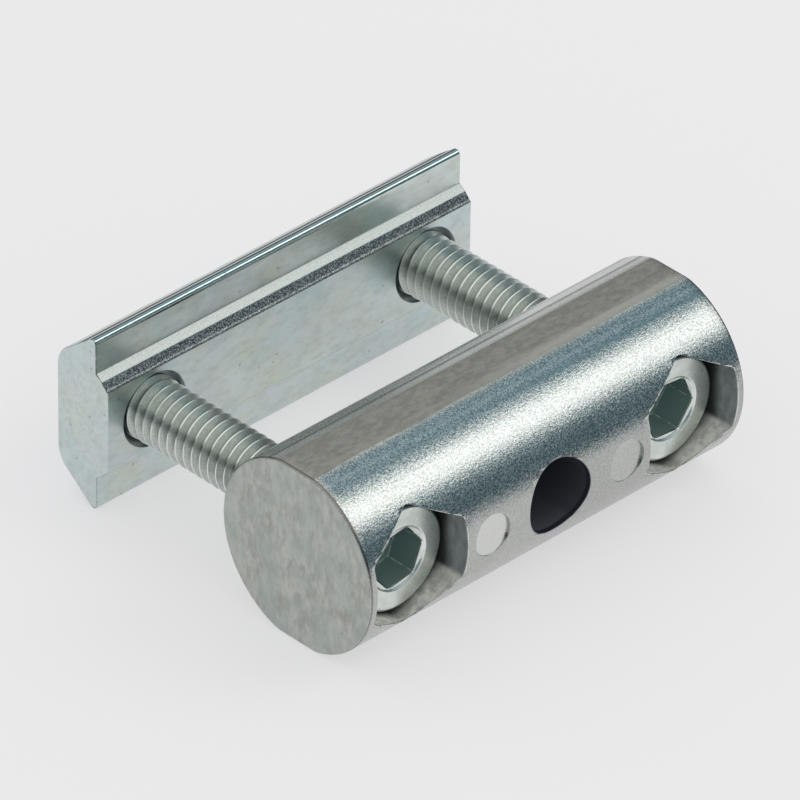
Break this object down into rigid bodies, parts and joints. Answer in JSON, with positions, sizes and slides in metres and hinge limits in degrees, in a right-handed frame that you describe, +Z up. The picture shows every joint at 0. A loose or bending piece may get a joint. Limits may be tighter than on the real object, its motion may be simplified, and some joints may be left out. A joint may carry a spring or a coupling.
{
  "type": "yoke connector",
  "caption": "Cross-barrel yoke connector for slotted profile: cap screws through a die-cast barrel draw a double slot nut against the slot lips.",
  "frame": {"origin": "middle of the barrel, where its axis crosses the axis of the centre bore", "axes": "+X along the barrel, -Y out of the face with the screw heads, +Y towards the slot nut, +Z up as the connector lies on a table"},
  "size_m": [0.044, 0.0391, 0.0174],
  "materials": {
    "die_cast_zinc": "satin",
    "screw_steel": "satin",
    "nut_steel": "satin"
  },
  "bodies": {
    "barrel": {"yoke_barrel": "die_cast_zinc"},
    "left_screw": {"cap_screw_left": "screw_steel"},
    "right_screw": {"cap_screw_right": "screw_steel"},
    "nut": {"slot_nut": "nut_steel"}
  },
  "joints": [
    {"name": "left_screw_turn", "type": "hinge", "parent": "barrel", "child": "left_screw", "pos_m": [-0.016, -0.00005, 0], "axis": [0, 1, 0], "range_deg": [-1080, 5220]},
    {"name": "right_screw_turn", "type": "hinge", "parent": "barrel", "child": "right_screw", "pos_m": [0.016, -0.00005, 0], "axis": [0, 1, 0], "range_deg": [-1080, 5220]},
    {"name": "nut_travel", "type": "slide", "parent": "barrel", "child": "nut", "axis": [0, -1, 0], "range_m": [-0.003, 0.0145]}
  ],
  "couplings": [
    {"joint": "left_screw_turn", "follows": "nut_travel", "rad_per_m": 6283.2},
    {"joint": "right_screw_turn", "follows": "nut_travel", "rad_per_m": 6283.2}
  ]
}
